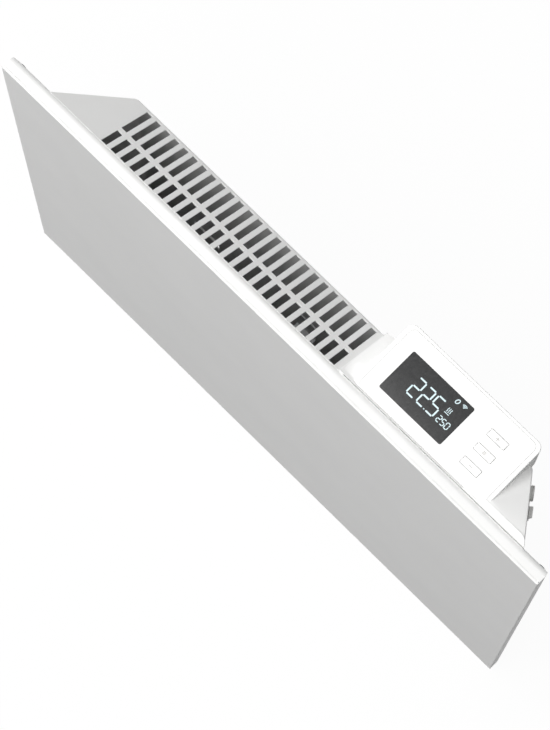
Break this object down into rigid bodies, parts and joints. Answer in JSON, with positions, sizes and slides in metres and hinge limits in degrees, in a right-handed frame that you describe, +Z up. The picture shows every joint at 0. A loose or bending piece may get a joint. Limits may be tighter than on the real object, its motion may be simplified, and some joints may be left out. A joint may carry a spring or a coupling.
{
  "type": "wall panel convector heater",
  "caption": "Flat wall convector heater: folded steel front, rear pan with sloped outlet grille, finned element, end housing with display, keys, switch and cable entry, on a wall rail.",
  "frame": {"origin": "centre of the wall rail's back face, on the wall plane", "axes": "+Y points into the wall, +X is to the right seen from the front, +Z is up"},
  "size_m": [0.53, 0.085, 0.4024],
  "materials": {
    "panel_paint": "satin white powder coat",
    "pan_paint": "satin white powder coat",
    "rail_paint": "satin white powder coat",
    "housing_plastic": "fine textured white",
    "cap_plastic": "smooth white",
    "window_plastic": "tinted acrylic",
    "black_plastic": "moulded black",
    "switch_plastic": "moulded white",
    "head_steel": "black oxide",
    "display_plastic": "display body",
    "key_switch_plastic": "moulded",
    "board_laminate": "solder mask",
    "relay_plastic": "moulded blue",
    "terminal_plastic": "moulded green",
    "transformer_tape": "wound coil in tape",
    "capacitor_sleeve": "shrink sleeve",
    "zinc_steel": "zinc plated",
    "galvanised_sheet": "galvanised",
    "element_steel": "heat-tinted stainless",
    "fin_aluminium": "extruded, matt",
    "ceramic": "glazed ceramic",
    "rubber": "silicone rubber",
    "spacer_plastic": "moulded white",
    "stud_brass": "bright",
    "wire_red": "silicone sleeve",
    "wire_grey": "PVC sleeve",
    "wire_earth": "green and yellow sleeve"
  },
  "bodies": {
    "wall_rail": {"wall_rail": "rail_paint"},
    "heater": {"front_panel": "panel_paint", "rear_pan": "pan_paint", "panel_screws": "head_steel", "heat_shield": "galvanised_sheet", "shield_rivets": "zinc_steel", "element_fins": "fin_aluminium", "element_rod": "element_steel", "element_bushes": "ceramic", "element_brackets": "galvanised_sheet", "bracket_rivets": "zinc_steel", "thermal_cutout": "black_plastic", "cutout_bracket": "galvanised_sheet", "electrics_partition": "galvanised_sheet", "partition_grommets": "rubber", "control_housing": "housing_plastic", "housing_screws": "zinc_steel", "terminal_cover": "housing_plastic", "cover_screws": "zinc_steel", "control_cap": "cap_plastic", "display_window": "window_plastic", "display_module": "display_plastic", "display_board": "board_laminate", "board_screws": "zinc_steel", "key_switches": "key_switch_plastic", "power_board": "board_laminate", "power_board_screws": "zinc_steel", "supply_transformer": "transformer_tape", "power_relay": "relay_plastic", "terminal_block": "terminal_plastic", "filter_capacitors": "capacitor_sleeve", "switch_body": "switch_plastic", "cable_gland": "switch_plastic", "gland_nut": "switch_plastic", "room_sensor": "black_plastic", "element_leads": "wire_red", "switch_leads": "wire_red", "sensor_lead": "wire_grey", "earth_stud": "stud_brass", "earth_lead": "wire_earth", "panel_ribbon": "wire_grey", "wall_spacers": "spacer_plastic"},
    "key_minus": {"key_minus": "cap_plastic"},
    "key_menu": {"key_menu": "cap_plastic"},
    "key_plus": {"key_plus": "cap_plastic"},
    "power_rocker": {"switch_rocker": "switch_plastic"}
  },
  "joints": [
    {"name": "heater_lift", "type": "slide", "parent": "wall_rail", "child": "heater", "axis": [0, 0, 1], "range_m": [0, 0.009]},
    {"name": "key_minus_press", "type": "slide", "parent": "heater", "child": "key_minus", "axis": [0, 0.0576, -0.9983], "range_m": [0, 0.0006], "stiffness_N_per_m": 300},
    {"name": "key_menu_press", "type": "slide", "parent": "heater", "child": "key_menu", "axis": [0, 0.0576, -0.9983], "range_m": [0, 0.0006], "stiffness_N_per_m": 300},
    {"name": "key_plus_press", "type": "slide", "parent": "heater", "child": "key_plus", "axis": [0, 0.0576, -0.9983], "range_m": [0, 0.0006], "stiffness_N_per_m": 300},
    {"name": "rocker_swing", "type": "hinge", "parent": "heater", "child": "power_rocker", "pos_m": [0.22134, -0.04565, 0.138], "axis": [-0.5905, 0.8071, 0], "range_deg": [-14, 0]}
  ]
}
